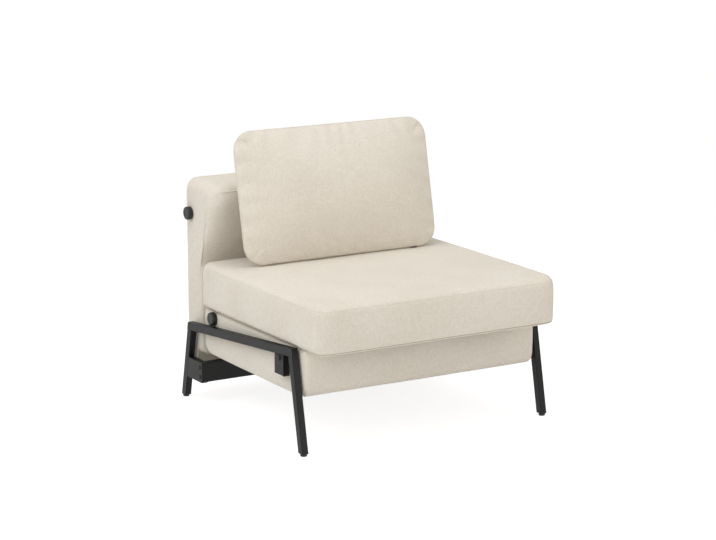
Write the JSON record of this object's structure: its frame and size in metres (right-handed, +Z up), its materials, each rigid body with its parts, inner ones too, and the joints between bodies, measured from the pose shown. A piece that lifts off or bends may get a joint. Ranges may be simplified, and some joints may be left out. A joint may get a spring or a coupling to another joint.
{
  "type": "convertible chair bed",
  "caption": "Upholstered chair that unfolds into a single bed: thick seat over a lower panel, folding backrest, loose pillow and open black tube side frames.",
  "frame": {"origin": "on the floor, midway between the side frames", "axes": "+X right, -Y front, +Z up"},
  "size_m": [0.908, 0.9395, 0.9051],
  "materials": {
    "frame_black": "satin black powder coat",
    "glide_black": "matt black moulded",
    "pad_rubber": "matt black rubber",
    "steel": "zinc-plated, satin",
    "knob_black": "satin black moulded",
    "wood": "planed pine",
    "board": "plywood",
    "cover_cream": "woven cream cloth, fine slub",
    "zip_tape": "woven tape",
    "zip_metal": "dark zip slider"
  },
  "bodies": {
    "base": {"left_top_bar": "frame_black", "right_top_bar": "frame_black", "left_front_leg": "frame_black", "right_front_leg": "frame_black", "left_rear_leg": "frame_black", "right_rear_leg": "frame_black", "left_front_bracket": "frame_black", "right_front_bracket": "frame_black", "left_rear_bracket": "frame_black", "right_rear_bracket": "frame_black", "rear_crossbeam": "frame_black", "crossbeam_bolts": "frame_black", "foot_glides": "glide_black", "rest_pads": "pad_rubber", "panel_pivot_bolts": "frame_black", "link_pivot_pins": "steel"},
    "lower_panel": {"panel_side_rails": "wood", "panel_cross_rails": "wood", "panel_board": "board", "panel_pivot_bushes": "glide_black", "lower_panel": "cover_cream", "panel_knobs": "knob_black", "hinge_lower_leaves": "steel", "hinge_pins": "steel"},
    "upper_cushion": {"seat_board": "board", "seat_cushion": "cover_cream", "hinge_upper_leaves": "steel", "leg_pivot_pins": "steel", "leg_pivot_blocks": "steel"},
    "front_support_leg": {"front_support_leg": "frame_black", "front_support_leg_feet": "glide_black"},
    "rear_support_leg": {"rear_support_leg": "frame_black", "rear_support_leg_feet": "glide_black"},
    "swing_links": {"swing_links": "frame_black"},
    "backrest": {"back_stiles": "wood", "back_spars": "wood", "back_pin_blocks": "wood", "backrest": "cover_cream", "back_pins": "steel", "back_knobs": "knob_black"},
    "pillow": {"pillow": "cover_cream", "zip_tape": "zip_tape"},
    "zip_slider": {"zip_slider": "zip_metal"}
  },
  "joints": [
    {"name": "seat_unfold", "type": "hinge", "parent": "base", "child": "lower_panel", "pos_m": [0, -0.247, 0.28], "axis": [1, 0, 0], "range_deg": [0, 180]},
    {"name": "cushion_unfold", "type": "hinge", "parent": "lower_panel", "child": "upper_cushion", "pos_m": [0, 0.3195, 0.321], "axis": [1, 0, 0], "range_deg": [-180, 0]},
    {"name": "link_swing", "type": "hinge", "parent": "base", "child": "swing_links", "pos_m": [0, 0.2005, 0.26386], "axis": [1, 0, 0], "range_deg": [0, 152.81]},
    {"name": "backrest_fold", "type": "hinge", "parent": "swing_links", "child": "backrest", "pos_m": [0, 0.361, 0.246], "axis": [1, 0, 0], "range_deg": [-242.81, 0]},
    {"name": "front_leg_fold", "type": "hinge", "parent": "upper_cushion", "child": "front_support_leg", "pos_m": [0, -0.405, 0.339], "axis": [1, 0, 0], "range_deg": [-90, 0]},
    {"name": "rear_leg_fold", "type": "hinge", "parent": "upper_cushion", "child": "rear_support_leg", "pos_m": [0, 0.258, 0.339], "axis": [1, 0, 0], "range_deg": [0, 90]},
    {"name": "pillow_lay", "type": "hinge", "parent": "upper_cushion", "child": "pillow", "pos_m": [0, 0.1886, 0.4799], "axis": [1, 0, 0], "range_deg": [-83, 0]},
    {"name": "zip_slide", "type": "slide", "parent": "pillow", "child": "zip_slider", "axis": [-1, 0, 0], "range_m": [0, 0.5]}
  ],
  "couplings": [
    {"joint": "cushion_unfold", "follows": "seat_unfold", "ratio": -1},
    {"joint": "link_swing", "follows": "seat_unfold", "ratio": 0.84894},
    {"joint": "backrest_fold", "follows": "seat_unfold", "ratio": -1.3489},
    {"joint": "front_leg_fold", "follows": "seat_unfold", "ratio": -0.5},
    {"joint": "rear_leg_fold", "follows": "seat_unfold", "ratio": 0.5},
    {"joint": "pillow_lay", "follows": "seat_unfold", "ratio": -0.46111}
  ]
}
